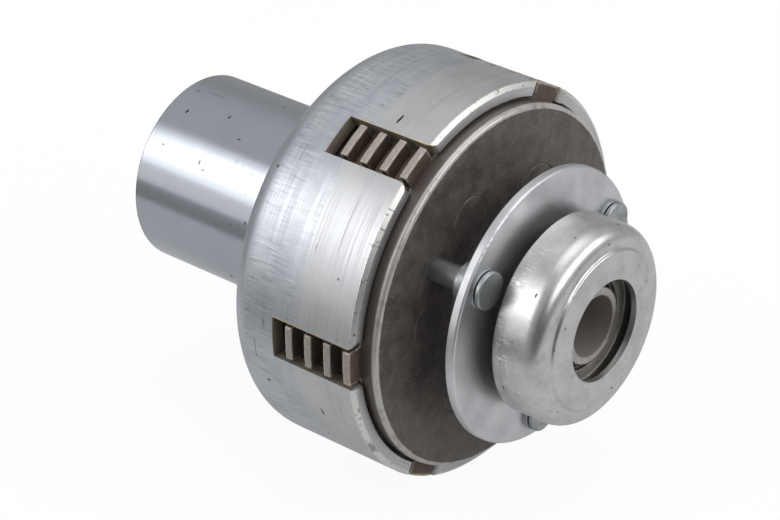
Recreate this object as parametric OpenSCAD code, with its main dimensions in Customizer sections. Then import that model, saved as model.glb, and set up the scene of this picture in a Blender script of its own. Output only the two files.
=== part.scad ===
// Multi-disc clutch with its release bearing, built from separate named pieces, in millimetres.
// Every piece is drawn along local Z and then laid along +X.
// X = 0 is the mouth of the engine bore, the release bearing is at the +X end and +Z is up.

/* [Drum] */
// outside diameter of the drum
drum_d = 100; // [92:0.5:120]
// thickness of the drum wall around the discs
drum_wall = 3.6; // [3:0.1:5]
// thickness of the drum's back wall
web_t = 5.2; // [4.5:0.1:8]
// radius of the drum's rear shoulder
shoulder_r = 7.7; // [5:0.1:9]
// chamfer of the drum's front edge
drum_chamfer = 0.9; // [0.3:0.1:1.5]
// outside diameter of the drive tube
tube_d = 49; // [44:0.5:56]
// length of the drive tube behind the drum
tube_len = 53.7; // [50:0.1:80]
// fillet between the tube and the drum's back wall
tube_fillet = 3; // [1:0.5:5]
// chamfer of the tube's rear edge
tube_chamfer = 0.3; // [0.2:0.1:1.5]

/* [Drum slots] */
// number of slots around the drum
slot_count = 6; // [4:1:8]
// width of each slot
slot_w = 10.7; // [8:0.1:14]
// distance from the drum's back wall face to the closed end of a slot
slot_back = 10.5; // [9.5:0.1:12]
// rounding of the two corners at the mouth of a slot
slot_mouth_r = 2; // [0.5:0.1:3]
// angle of the first slot about the axis
slot_turn = 31.4; // [0:0.1:60]

/* [Engine shaft] */
// bore diameter for the engine shaft
engine_bore_d = 25; // [20:0.5:30]
// depth of the engine bore
engine_bore_len = 44; // [30:0.5:45]
// keyway width of the engine bore
engine_key_w = 8; // [5:0.5:10]
// keyway depth above the bore
engine_key_h = 3.3; // [2:0.1:4]

/* [Disc pack] */
// thickness of a lugged friction disc
friction_t = 1.8; // [1.5:0.1:3.5]
// thickness of a plain steel plate
steel_t = 3.95; // [2.5:0.05:4.5]
// thickness of the front plate
front_plate_t = 4.6; // [3.6:0.05:6]
// thickness of the pressure plate
pressure_t = 4.15; // [3.4:0.05:6]
// depth that the front plate sits inside the drum
plate_seat = 1; // [0.6:0.1:2.5]
// rounding of the front plate's rim
front_rim_r = 1.2; // [0.5:0.1:2]
// play left between faces that turn against each other
face_gap = 0.05; // [0.02:0.01:0.1]
// distance that a lug stays below the drum's outside
lug_recess = 0.1; // [0:0.1:1.5]
// free play on each side of a lug
lug_play = 1; // [0.3:0.05:1.3]

/* [Driven hub] */
// bore diameter for the output shaft
output_bore_d = 15; // [12:0.5:18]
// keyway width of the output bore
output_key_w = 5; // [3:0.5:6]
// keyway depth above the output bore
output_key_h = 2.3; // [1.2:0.1:2.8]
// diameter over the hub's splines
spline_d = 41.6; // [40:0.1:43]
// height of the splines
spline_h = 2.2; // [1.5:0.1:3]
// number of splines
spline_count = 10; // [6:1:14]
// width of a spline
spline_w = 6; // [4:0.1:7]
// side and radial play of the splines
spline_play = 0.3; // [0.2:0.05:0.5]
// diameter of the hub's nose in the front plate
nose_d = 35; // [32:0.5:36]
// depth of the nose below the front plate's face
nose_sink = 1; // [0.2:0.1:2]
// diameter of the hub's rear spigot
pilot_d = 18; // [14:0.5:20]
// running clearance of the spigot, on radius
pilot_fit = 0.05; // [0.02:0.01:0.09]
// wall thickness of the pilot bush
bush_t = 2.5; // [1.5:0.1:3]
// thickness of the pilot bush's flange
bush_flange_t = 0.9; // [0.6:0.1:1]

/* [Flush rivets] */
// number of rivets that hold the front plate
rivet_count = 6; // [3:1:6]
// diameter of the circle through the rivets
rivet_circle_d = 51.2; // [50.6:0.1:53]
// diameter of a rivet's flush head
rivet_head_d = 12.7; // [9:0.1:13]
// diameter of a rivet's shank
rivet_d = 6; // [4:0.1:7]
// edge bevel that draws the ring around a head
rivet_bevel = 0.3; // [0.1:0.05:0.5]
// angle of the first rivet about the axis
rivet_turn = 26; // [0:0.1:60]

/* [Disc springs] */
// thickness of a disc spring
spring_t = 1.3; // [1:0.05:1.6]
// cone height of a disc spring while the clutch is engaged
spring_cone = 1.15; // [1:0.05:1.6]
// diameter over a disc spring
spring_d = 62; // [54:0.5:70]
// thickness of the ring behind the springs
backing_t = 2; // [1.5:0.1:3]
// thickness of the retaining ring
ring_t = 1.2; // [1:0.1:1.5]
// depth of the retaining ring's groove
ring_groove = 1; // [0.6:0.1:1.4]

/* [Release gear] */
// number of release pins
pin_count = 3; // [3:1:3]
// diameter of the circle through the pins
pin_circle_d = 57; // [56:0.1:60]
// diameter of a pin
pin_d = 6; // [5:0.1:7]
// running clearance of a pin in the front plate, on radius
pin_fit = 0.05; // [0.02:0.01:0.09]
// play of a pin in the holes that do not guide it, on radius
pin_play = 0.4; // [0.3:0.05:0.6]
// diameter of a pin's collar
collar_d = 10; // [8.5:0.1:11]
// length of a pin's collar
collar_h = 2.8; // [1.5:0.1:4]
// diameter of a pin's head
head_d = 9.3; // [8:0.1:10]
// height of a pin's head
head_h = 1.1; // [0.8:0.1:3]
// diameter of the washer under a head
washer_d = 9.5; // [8.5:0.1:11]
// thickness of the washer
washer_t = 0.5; // [0.4:0.1:1.2]
// play between the washer and the head
head_play = 0.5; // [0.1:0.1:1]
// angle of the first pin about the axis
pin_turn = 116.6; // [90:0.1:150]
// diameter of the release plate
release_d = 69.4; // [69:0.1:80]
// thickness of the release plate
release_t = 2.3; // [1.4:0.1:3]
// rounding of the release plate's front edge
release_edge_r = 0.6; // [0.2:0.1:1]
// distance from the front plate's face to the release plate
release_gap = 11.4; // [8:0.1:20]

/* [Release bearing] */
// bore diameter of the bearing sleeve
sleeve_bore_d = 15.4; // [12:0.1:16]
// wall thickness of the sleeve
sleeve_t = 2.3; // [1.6:0.1:3]
// height of the sleeve's shoulder on the release plate
sleeve_shoulder_h = 1.9; // [1.2:0.1:4]
// width of the shoulder around the sleeve
sleeve_shoulder_w = 3; // [2:0.1:3.5]
// height of the sleeve's swaged rim behind the release plate
sleeve_rim_h = 1.4; // [0.8:0.1:2]
// length of the sleeve in front of the inner race
sleeve_nose_h = 2.35; // [0.5:0.05:2.7]
// ball diameter as a percentage of the space between the sleeve and the cup
ball_share = 51; // [48:1:58]
// width of the outer race on each side of a ball
race_side = 1.25; // [1:0.05:1.6]
// length of the inner race behind the outer one
race_rear = 0.85; // [0.65:0.05:1.5]
// clearance between a ball and its groove
ball_fit = 0.05; // [0.02:0.01:0.1]
// depth of a ball groove
groove_depth = 0.7; // [0.4:0.05:0.9]
// thickness of a dust shield
shield_t = 0.6; // [0.4:0.05:0.8]
// part of the inner race that shows inside the front shield
race_show = 1.7; // [1:0.1:2.5]
// outside diameter of the bearing cup
cup_d = 50.4; // [49:0.1:54]
// sheet thickness of the cup
cup_t = 1.6; // [1.2:0.1:2]
// rounding of the cup's shoulder
cup_edge_r = 4.5; // [3:0.1:5]
// height of the raised flat face
cup_face_h = 0.9; // [0.5:0.1:1.3]
// radius of the two bends at the edge of the raised face
cup_step_r = 0.7; // [0.65:0.05:1.2]
// diameter of the hole in the face
cup_hole_d = 25.5; // [24:0.1:30]
// distance that the cup stops short of the outer race's rear face
cup_lip = 1.2; // [0:0.1:2]

/* [Hidden] */
$fn = 96;
// a cutter's overrun
over = 1;

drum_r = drum_d / 2;
drum_in_r = drum_r - drum_wall;
tube_r = tube_d / 2;
engine_r = engine_bore_d / 2;
pilot_r = pilot_d / 2;
bush_r = pilot_r + pilot_fit + bush_t;
bush_lip = 3;
drum_bore_bevel = 0.3;

// radii of the bearing
sleeve_r = sleeve_bore_d / 2 + sleeve_t;
sleeve_edge = 0.8;
swage_w = 1.2;
cup_r = cup_d / 2;
cup_in_r = cup_r - cup_t;
ball_r = (cup_in_r - sleeve_r) * ball_share / 200;
ball_circle_r = (cup_in_r + sleeve_r) / 2;
inner_race_r = ball_circle_r - ball_r + groove_depth;
outer_race_in_r = ball_circle_r + ball_r - groove_depth;
outer_race_w = 2 * (ball_r + race_side);
cage_t = 1.6;
cage_rim = 0.8;
cage_web = 1.4;
ball_count = floor(180 / asin((ball_r + cage_web / 2) / ball_circle_r));
shield_play = 0.3;
shield_lip_r = sleeve_r + race_show;
shield_in_r = inner_race_r + shield_play;
shield_out_r = (outer_race_in_r + cup_in_r) / 2;
bead_w = 0.5;
bead_h = 0.3;

// raised face of the cup, whose foot is where the shoulder's rounding starts
face_foot_r = cup_r - cup_edge_r;
step_lean = acos(1 - cup_face_h / (2 * cup_step_r));
bend_run = cup_step_r * sin(step_lean);
face_r = face_foot_r - 2 * bend_run;

// positions along the axis, from the tube's rear face
cavity_z = tube_len + web_t;
bush_inset = 2;
bush_z = engine_bore_len + bush_inset;
spigot_inset = 3;
spigot_z = engine_bore_len + spigot_inset;
tail_play = 0.3;
tail_z = cavity_z + bush_flange_t + tail_play;
hub_floor = 2;
output_z = tail_z + hub_floor;
ring_land = 0.8;
ring_z = tail_z + ring_land;
backing_z = ring_z + ring_t;
spring_z = backing_z + backing_t;
spring_h = spring_t + spring_cone;
pressure_z = spring_z + 2 * spring_h;
pack_z = pressure_z + pressure_t + face_gap;
disc_pitch = friction_t + steel_t + 2 * face_gap;
disc_count = 4;
front_z = pack_z + (disc_count - 1) * disc_pitch + friction_t + face_gap;
face_z = front_z + front_plate_t;
drum_end_z = front_z + plate_seat;
slot_z = cavity_z + slot_back;
release_z = face_z + release_gap;
sleeve_z = release_z - sleeve_rim_h;
head_z = release_z + release_t + washer_t + head_play;
race_z = release_z + release_t + sleeve_shoulder_h;
outer_race_z = race_z + race_rear;
outer_race_end_z = outer_race_z + outer_race_w;
ball_z = outer_race_z + outer_race_w / 2;
inner_race_end_z = outer_race_end_z - shield_play;
sleeve_end_z = inner_race_end_z + sleeve_nose_h;
cup_z = outer_race_z + cup_lip;
crease_z = outer_race_end_z + cup_edge_r;

// radii of the disc pack
pin_circle_r = pin_circle_d / 2;
rivet_circle_r = rivet_circle_d / 2;
pin_r = pin_d / 2;
neck_step = 0.6;
neck_r = pin_r - neck_step;
head_edge = 0.35;
flange_rim = 0.6;
flange_sink = 0.1;
flange_t = friction_t - flange_sink;
pin_reach = pin_circle_r + pin_r + pin_play;
rivet_reach = rivet_circle_r + rivet_head_d / 2;
flange_r = max(pin_reach, rivet_reach) + flange_rim;
disc_play = 1;
disc_in_r = flange_r + disc_play;
rim_play = 0.6;
disc_out_r = drum_in_r - rim_play;
lug_r = drum_r - lug_recess;
lug_w = slot_w - 2 * lug_play;
rivet_head_h = front_plate_t / 2;

// radii of the hub
spline_r = spline_d / 2;
spline_root_r = spline_r - spline_h;
nose_r = nose_d / 2;
nose_play = 0.3;
nose_hole_r = nose_r + nose_play;
nose_hole_bevel = 0.5;
output_r = output_bore_d / 2;
output_bevel = 0.8;
ring_in_r = spline_r - ring_groove;
ring_lip = 3;
ring_out_r = spline_r + ring_lip;
spring_play = 0.8;
spring_in_r = spline_r + spring_play;
backing_w = 5;

zinc = [0.74, 0.76, 0.79];
steel = [0.68, 0.69, 0.70];
dark_steel = [0.25, 0.23, 0.22];
sinter = [0.50, 0.42, 0.37];
bronze = [0.66, 0.48, 0.28];
race_steel = [0.80, 0.80, 0.80];

// lays a piece that is drawn along Z along +X, at a distance from the tube's rear face
module at(z) {
    rotate([0, 90, 0])
        translate([0, 0, z])
            children();
}

// repeats a piece around the axis
module around(count, first) {
    for (i = [0 : count - 1])
        rotate([0, 0, first + i * 360 / count])
            children();
}

// flat ring
module ring(out_r, in_r, h) {
    difference() {
        cylinder(r = out_r, h = h);
        translate([0, 0, -over])
            cylinder(r = in_r, h = h + 2 * over);
    }
}

// disc whose front edge is rounded
module round_front(r, h, edge) {
    rotate_extrude() {
        square([r - edge, h]);
        square([r, h - edge]);
        translate([r - edge, h - edge])
            circle(edge);
    }
}

// disc whose front edge is bevelled
module bevel_front(r, h, bevel) {
    cylinder(r = r, h = h - bevel);
    translate([0, 0, h - bevel])
        cylinder(r1 = r, r2 = r - bevel, h = bevel);
}

// cone that breaks the front edge of a hole
module hole_bevel(r, bevel) {
    translate([0, 0, -bevel])
        cylinder(r1 = r, r2 = r + bevel + over, h = bevel + over);
}

// keyway cutter above a bore of radius r
module keyway(r, w, h, len) {
    translate([-r - h, -w / 2, 0])
        cube([r + h, w, len]);
}

// outline of a drum slot, with rounded corners at its open end
module slot_outline(len) {
    translate([-slot_w / 2, 0])
        square([slot_w, len + over]);
    for (side = [0, 1])
        mirror([side, 0])
            translate([slot_w / 2, len - slot_mouth_r])
                difference() {
                    square([slot_mouth_r, slot_mouth_r + over]);
                    translate([slot_mouth_r, 0])
                        circle(slot_mouth_r);
                }
}

// slot cutter, open at the drum's front face
module slot_cut() {
    translate([drum_in_r - over, 0, slot_z])
        rotate([90, 0, 90])
            linear_extrude(drum_wall + 2 * over)
                slot_outline(drum_end_z - slot_z);
}

// outside of the drum, with its rounded rear shoulder and bevelled front edge
module drum_body() {
    drum_len = drum_end_z - tube_len;
    translate([0, 0, tube_len])
        rotate_extrude() {
            polygon([
                [0, shoulder_r],
                [drum_r, shoulder_r],
                [drum_r, drum_len - drum_chamfer],
                [drum_r - drum_chamfer, drum_len],
                [0, drum_len]
            ]);
            square([drum_r - shoulder_r, drum_len - drum_chamfer]);
            translate([drum_r - shoulder_r, shoulder_r])
                circle(shoulder_r);
        }
}

// drive tube with its rear chamfer and the fillet at the drum
module drive_tube() {
    rotate_extrude() {
        polygon([
            [0, 0],
            [tube_r - tube_chamfer, 0],
            [tube_r, tube_chamfer],
            [tube_r, tube_len + over],
            [0, tube_len + over]
        ]);
        translate([tube_r, tube_len - tube_fillet])
            difference() {
                square([tube_fillet, tube_fillet]);
                translate([tube_fillet, 0])
                    circle(tube_fillet);
            }
    }
}

module clutch_drum() {
    color(zinc)
        at(0)
            difference() {
                union() {
                    drive_tube();
                    drum_body();
                }
                translate([0, 0, cavity_z])
                    cylinder(r = drum_in_r, h = drum_end_z - cavity_z + over);
                translate([0, 0, drum_end_z])
                    hole_bevel(drum_in_r, drum_bore_bevel);
                translate([0, 0, -over])
                    cylinder(r = engine_r, h = engine_bore_len + over);
                translate([0, 0, -over])
                    keyway(engine_r, engine_key_w, engine_key_h, engine_bore_len + over);
                translate([0, 0, engine_bore_len - over])
                    cylinder(r = bush_r, h = cavity_z - engine_bore_len + 2 * over);
                around(slot_count, slot_turn)
                    slot_cut();
            }
}

module pilot_bush() {
    color(bronze)
        at(bush_z)
            difference() {
                union() {
                    cylinder(r = bush_r, h = cavity_z - bush_z);
                    translate([0, 0, cavity_z - bush_z])
                        cylinder(r = bush_r + bush_lip, h = bush_flange_t);
                }
                translate([0, 0, -over])
                    cylinder(r = pilot_r + pilot_fit, h = cavity_z - bush_z + bush_flange_t + 2 * over);
            }
}

// outline of the hub's toothed bar, or of the hole around it when grow is not zero
module spline_outline(grow) {
    circle(spline_root_r + grow);
    intersection() {
        circle(spline_r + grow);
        around(spline_count, 0)
            translate([0, -spline_w / 2 - grow])
                square([spline_r + grow + over, spline_w + 2 * grow]);
    }
}

// holes for the pins
module pin_holes(r, h) {
    around(pin_count, pin_turn)
        translate([pin_circle_r, 0, -over])
            cylinder(r = r, h = h + 2 * over);
}

// holes for the rivets' shanks
module rivet_holes(h) {
    around(rivet_count, rivet_turn)
        translate([rivet_circle_r, 0, -over])
            cylinder(r = rivet_d / 2, h = h + 2 * over);
}

module driven_hub() {
    nose_z = face_z - nose_sink;
    color(steel)
        difference() {
            union() {
                at(spigot_z)
                    cylinder(r = pilot_r, h = tail_z - spigot_z + over);
                at(tail_z)
                    linear_extrude(front_z - tail_z)
                        spline_outline(0);
                at(front_z - flange_t)
                    cylinder(r = flange_r, h = flange_t);
                at(front_z - over)
                    cylinder(r = nose_r, h = nose_z - front_z + over);
            }
            at(output_z)
                cylinder(r = output_r, h = nose_z - output_z + over);
            at(nose_z)
                hole_bevel(output_r, output_bevel);
            at(output_z + hub_floor)
                keyway(output_r, output_key_w, output_key_h, nose_z - output_z);
            at(ring_z)
                ring(spline_r + over, ring_in_r, ring_t);
            at(front_z - flange_t)
                pin_holes(pin_r + pin_play, flange_t);
            at(front_z - flange_t)
                rivet_holes(flange_t);
        }
}

module front_plate() {
    color(dark_steel)
        at(front_z)
            difference() {
                round_front(disc_out_r, front_plate_t, front_rim_r);
                translate([0, 0, -over])
                    cylinder(r = nose_hole_r, h = front_plate_t + 2 * over);
                translate([0, 0, front_plate_t])
                    hole_bevel(nose_hole_r, nose_hole_bevel);
                pin_holes(pin_r + pin_fit, front_plate_t);
                rivet_holes(front_plate_t);
                around(rivet_count, rivet_turn)
                    translate([rivet_circle_r, 0, front_plate_t - rivet_head_h])
                        cylinder(r = rivet_head_d / 2, h = rivet_head_h + over);
            }
}

module hub_rivets() {
    shank_h = flange_t + front_plate_t - rivet_head_h;
    color(dark_steel)
        at(front_z - flange_t)
            around(rivet_count, rivet_turn)
                translate([rivet_circle_r, 0, 0]) {
                    cylinder(r = rivet_d / 2, h = shank_h);
                    translate([0, 0, shank_h])
                        bevel_front(rivet_head_d / 2, rivet_head_h, rivet_bevel);
                }
}

module backing_ring() {
    color(steel)
        at(backing_z)
            ring(spring_in_r + backing_w, spline_r + spline_play, backing_t);
}

module retaining_ring() {
    color(dark_steel)
        at(ring_z)
            difference() {
                ring(ring_out_r, ring_in_r, ring_t);
                translate([0, -spline_w / 2, -over])
                    cube([ring_out_r + over, spline_w, ring_t + 2 * over]);
            }
}

// conical spring, narrow end first
module disc_spring() {
    rotate_extrude()
        polygon([
            [spring_in_r, 0],
            [spring_d / 2, spring_cone],
            [spring_d / 2, spring_h],
            [spring_in_r, spring_t]
        ]);
}

module disc_spring_1() {
    color(dark_steel)
        at(spring_z)
            disc_spring();
}

module disc_spring_2() {
    color(dark_steel)
        at(pressure_z)
            mirror([0, 0, 1])
                disc_spring();
}

// plate that slides on the hub's splines
module splined_plate(h) {
    linear_extrude(h)
        difference() {
            circle(disc_out_r);
            spline_outline(spline_play);
        }
}

module pressure_plate() {
    color(steel)
        at(pressure_z)
            difference() {
                splined_plate(pressure_t);
                pin_holes(pin_r, pressure_t);
            }
}

// outline of a lugged disc
module lugged_outline() {
    difference() {
        union() {
            circle(disc_out_r);
            intersection() {
                circle(lug_r);
                around(slot_count, slot_turn)
                    translate([disc_in_r + over, -lug_w / 2])
                        square([drum_r - disc_in_r, lug_w]);
            }
        }
        circle(disc_in_r);
    }
}

// lugged disc, counted from the pressure plate
module friction_disc(index) {
    color(sinter)
        at(pack_z + (index - 1) * disc_pitch)
            linear_extrude(friction_t)
                lugged_outline();
}

module friction_disc_1() {
    friction_disc(1);
}

module friction_disc_2() {
    friction_disc(2);
}

module friction_disc_3() {
    friction_disc(3);
}

module friction_disc_4() {
    friction_disc(4);
}

// plain plate, counted from the pressure plate
module steel_plate(index) {
    color(steel)
        at(pack_z + (index - 1) * disc_pitch + friction_t + face_gap)
            difference() {
                splined_plate(steel_t);
                pin_holes(pin_r + pin_play, steel_t);
            }
}

module steel_plate_1() {
    steel_plate(1);
}

module steel_plate_2() {
    steel_plate(2);
}

module steel_plate_3() {
    steel_plate(3);
}

module release_pins() {
    color(zinc)
        at(pressure_z)
            around(pin_count, pin_turn)
                translate([pin_circle_r, 0, 0]) {
                    cylinder(r = pin_r, h = release_z - collar_h - pressure_z);
                    translate([0, 0, release_z - collar_h - pressure_z])
                        cylinder(r = collar_d / 2, h = collar_h);
                    translate([0, 0, release_z - pressure_z])
                        cylinder(r = neck_r, h = head_z - release_z);
                    translate([0, 0, head_z - pressure_z])
                        round_front(head_d / 2, head_h, head_edge);
                }
}

module pin_washers() {
    color(zinc)
        at(release_z + release_t)
            around(pin_count, pin_turn)
                translate([pin_circle_r, 0, 0])
                    ring(washer_d / 2, neck_r, washer_t);
}

module release_plate() {
    color(zinc)
        at(release_z)
            difference() {
                round_front(release_d / 2, release_t, release_edge_r);
                translate([0, 0, -over])
                    cylinder(r = sleeve_r, h = release_t + 2 * over);
                pin_holes(neck_r, release_t);
            }
}

module bearing_sleeve() {
    color(zinc)
        at(sleeve_z)
            difference() {
                union() {
                    round_front(sleeve_r, sleeve_end_z - sleeve_z, sleeve_edge);
                    cylinder(r = sleeve_r + swage_w, h = sleeve_rim_h);
                    translate([0, 0, race_z - sleeve_shoulder_h - sleeve_z])
                        cylinder(r = sleeve_r + sleeve_shoulder_w, h = sleeve_shoulder_h);
                }
                translate([0, 0, -over])
                    cylinder(r = sleeve_bore_d / 2, h = sleeve_end_z - sleeve_z + 2 * over);
            }
}

// round groove that the balls run in
module ball_groove() {
    rotate_extrude()
        translate([ball_circle_r, 0])
            circle(ball_r + ball_fit);
}

module inner_race() {
    color(race_steel)
        difference() {
            at(race_z)
                ring(inner_race_r, sleeve_r, inner_race_end_z - race_z);
            at(ball_z)
                ball_groove();
        }
}

module outer_race() {
    color(race_steel)
        difference() {
            at(outer_race_z)
                ring(cup_in_r, outer_race_in_r, outer_race_w);
            at(ball_z)
                ball_groove();
        }
}

module bearing_balls() {
    color(race_steel)
        at(ball_z)
            around(ball_count, 0)
                translate([ball_circle_r, 0, 0])
                    sphere(r = ball_r);
}

module ball_cage() {
    cage_h = 2 * (ball_r + cage_rim);
    color(bronze)
        at(ball_z)
            difference() {
                translate([0, 0, -cage_h / 2])
                    ring(ball_circle_r + cage_t / 2, ball_circle_r - cage_t / 2, cage_h);
                around(ball_count, 0)
                    translate([ball_circle_r - cage_t, 0, 0])
                        rotate([0, 90, 0])
                            cylinder(r = ball_r, h = 2 * cage_t);
            }
}

module front_shield() {
    color(dark_steel)
        at(outer_race_end_z) {
            ring(shield_out_r, shield_lip_r, shield_t);
            ring(shield_in_r + bead_w, shield_in_r, shield_t + bead_h);
        }
}

module rear_shield() {
    color(dark_steel)
        at(outer_race_z - shield_t)
            ring(shield_out_r, shield_in_r, shield_t);
}

// raised round face on a flat at Z = 0, with two bends at its edge
module pressed_face() {
    rotate_extrude() {
        translate([0, -over])
            square([face_r, cup_face_h + over]);
        translate([face_r, cup_face_h - cup_step_r])
            intersection() {
                circle(cup_step_r);
                translate([-over, cup_step_r - cup_face_h / 2])
                    square([bend_run + over, cup_face_h / 2]);
            }
        difference() {
            translate([0, -over])
                square([face_foot_r, cup_face_h / 2 + over]);
            translate([face_foot_r, cup_step_r])
                circle(cup_step_r);
        }
    }
}

module bearing_cup() {
    crease = crease_z - cup_z;
    color(zinc)
        at(cup_z)
            difference() {
                union() {
                    round_front(cup_r, crease, cup_edge_r);
                    translate([0, 0, crease])
                        pressed_face();
                }
                translate([0, 0, -cup_t]) {
                    round_front(cup_in_r, crease, cup_edge_r - cup_t);
                    cylinder(r = face_r, h = crease + cup_face_h);
                }
                translate([0, 0, -over])
                    cylinder(r = cup_hole_d / 2, h = crease + cup_face_h + 2 * over);
            }
}

clutch_drum();
pilot_bush();
driven_hub();
front_plate();
hub_rivets();
backing_ring();
retaining_ring();
disc_spring_1();
disc_spring_2();
pressure_plate();
friction_disc_1();
friction_disc_2();
friction_disc_3();
friction_disc_4();
steel_plate_1();
steel_plate_2();
steel_plate_3();
release_pins();
pin_washers();
release_plate();
bearing_sleeve();
inner_race();
bearing_balls();
ball_cage();
outer_race();
front_shield();
rear_shield();
bearing_cup();
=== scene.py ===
"""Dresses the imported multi-disc clutch.

Every piece gets its finish, the disc springs are formed, and a studio with the photograph's camera is built.
"""

import logging
import math
from dataclasses import dataclass, field
from enum import Enum

import bpy
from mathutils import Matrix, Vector


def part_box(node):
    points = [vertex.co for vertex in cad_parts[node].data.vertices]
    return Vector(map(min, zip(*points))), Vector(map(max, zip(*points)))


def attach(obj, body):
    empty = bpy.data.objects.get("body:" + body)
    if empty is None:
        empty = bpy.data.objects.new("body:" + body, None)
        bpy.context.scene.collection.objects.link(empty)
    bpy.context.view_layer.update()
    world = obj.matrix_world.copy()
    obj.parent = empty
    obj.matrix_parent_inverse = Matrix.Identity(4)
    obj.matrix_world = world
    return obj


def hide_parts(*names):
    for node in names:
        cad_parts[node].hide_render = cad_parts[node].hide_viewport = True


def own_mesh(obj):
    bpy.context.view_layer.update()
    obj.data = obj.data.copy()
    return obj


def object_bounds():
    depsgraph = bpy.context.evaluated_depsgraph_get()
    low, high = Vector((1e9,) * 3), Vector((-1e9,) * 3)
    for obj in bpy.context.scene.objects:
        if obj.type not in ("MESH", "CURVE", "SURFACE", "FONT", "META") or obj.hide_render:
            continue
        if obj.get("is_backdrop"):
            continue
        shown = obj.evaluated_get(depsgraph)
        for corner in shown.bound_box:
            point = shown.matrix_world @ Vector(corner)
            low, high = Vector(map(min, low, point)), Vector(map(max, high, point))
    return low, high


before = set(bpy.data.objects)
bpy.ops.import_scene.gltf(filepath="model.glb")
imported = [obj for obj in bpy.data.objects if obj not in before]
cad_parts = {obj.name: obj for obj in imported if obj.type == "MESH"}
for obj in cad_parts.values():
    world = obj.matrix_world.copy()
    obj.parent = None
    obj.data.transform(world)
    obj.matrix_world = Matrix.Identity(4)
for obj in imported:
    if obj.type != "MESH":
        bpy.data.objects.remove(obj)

LOG = logging.getLogger("clutch")
MM = 0.001
Tree = bpy.types.NodeTree
Socket = bpy.types.NodeSocket

# Levels of a noise between which the blots of a plain metal come in
BLOT_LEVELS = (0.35, 0.7)
# Cosines between the true and the softened normal at which an edge is rounded, and at which it is rubbed
ROUNDED_LEVELS = (0.998, 0.98)
RUBBED_LEVELS = (0.985, 0.9)


class Axis(Enum):
    """The ways that marks run on a part that is turned about X."""

    ROUND = "round"
    ALONG = "along"


class Facing(Enum):
    """The end of a cone that its narrow side looks to."""

    REAR = 1.0
    FRONT = -1.0


def linear(hex_colour: str) -> tuple[float, float, float, float]:
    """Turns an sRGB hex colour into linear RGBA.

    Args:
        hex_colour: colour such as "#C4C7CB".

    Returns:
        Red, green, blue and alpha, linear.
    """
    parts = [int(hex_colour[i : i + 2], 16) / 255 for i in (1, 3, 5)]
    return (*[c / 12.92 if c <= 0.04045 else ((c + 0.055) / 1.055) ** 2.4 for c in parts], 1.0)


def add(tree: Tree, kind: str, inputs: dict | None = None, **settings: object) -> bpy.types.Node:
    """Adds a node with its settings, values and links.

    Args:
        tree: tree that gets the node.
        kind: Blender's name for the node.
        inputs: input name or number to a value, or to the output socket that feeds it.
        **settings: properties of the node.

    Returns:
        The new node.
    """
    node = tree.nodes.new(kind)
    for name, value in settings.items():
        setattr(node, name, value)
    for key, value in (inputs or {}).items():
        if isinstance(value, bpy.types.NodeSocket):
            tree.links.new(value, node.inputs[key])
        else:
            node.inputs[key].default_value = value
    return node


@dataclass
class Sums:
    """Masks, numbers and colours that are worked out in one tree."""

    tree: Tree

    def times(self, *values: object) -> Socket:
        """Multiplies masks, so that the result shows only where all of them do.

        Args:
            *values: two or more numbers or sockets.

        Returns:
            Their product.
        """
        product = values[0]
        for value in values[1:]:
            product = add(self.tree, "ShaderNodeMath", {0: product, 1: value}, operation="MULTIPLY").outputs[0]
        return product

    def either(self, first: Socket, second: Socket) -> Socket:
        """Shows a mark where one of two masks does."""
        return add(self.tree, "ShaderNodeMath", {0: first, 1: second}, operation="MAXIMUM").outputs[0]

    def ramp(self, value: Socket, low: float, high: float) -> Socket:
        """Stretches a value so that low becomes 0 and high becomes 1, with soft ends.

        Args:
            value: socket to stretch.
            low: value that becomes 0.
            high: value that becomes 1.

        Returns:
            The stretched value.
        """
        spread = {"Value": value, "From Min": low, "From Max": high}
        stretched = add(self.tree, "ShaderNodeMapRange", spread, interpolation_type="SMOOTHSTEP")
        return stretched.outputs["Result"]

    def vary(self, share: Socket, low: float, high: float) -> Socket:
        """Runs a number from low to high as share goes from 0 to 1."""
        spread = {"Value": share, "To Min": low, "To Max": high}
        return add(self.tree, "ShaderNodeMapRange", spread).outputs["Result"]

    def mix(self, share: Socket, under: object, over: object) -> Socket:
        """Runs from one number to another, either of which may be a socket."""
        return add(self.tree, "ShaderNodeMix", {0: share, 2: under, 3: over}).outputs[0]

    def tint(self, share: Socket, under: object, over: object) -> Socket:
        """Lays one colour over another.

        Args:
            share: how much of the upper colour shows, from 0 to 1.
            under: lower colour, as a hex value or a socket.
            over: upper colour, as a hex value or a socket.

        Returns:
            The mixed colour.
        """
        below, above = [linear(c) if isinstance(c, str) else c for c in (under, over)]
        return add(self.tree, "ShaderNodeMix", {0: share, 6: below, 7: above}, data_type="RGBA").outputs[2]

    def coats(self, colour: object, *coats: tuple) -> Socket:
        """Lays coats of colour over each other.

        Args:
            colour: lowest colour, as a hex value or a socket.
            *coats: each coat's mask, strength and colour, from the lowest.

        Returns:
            The colour that shows.
        """
        for mask, strength, over in coats:
            colour = self.tint(self.times(mask, strength), colour, over)
        return colour


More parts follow.
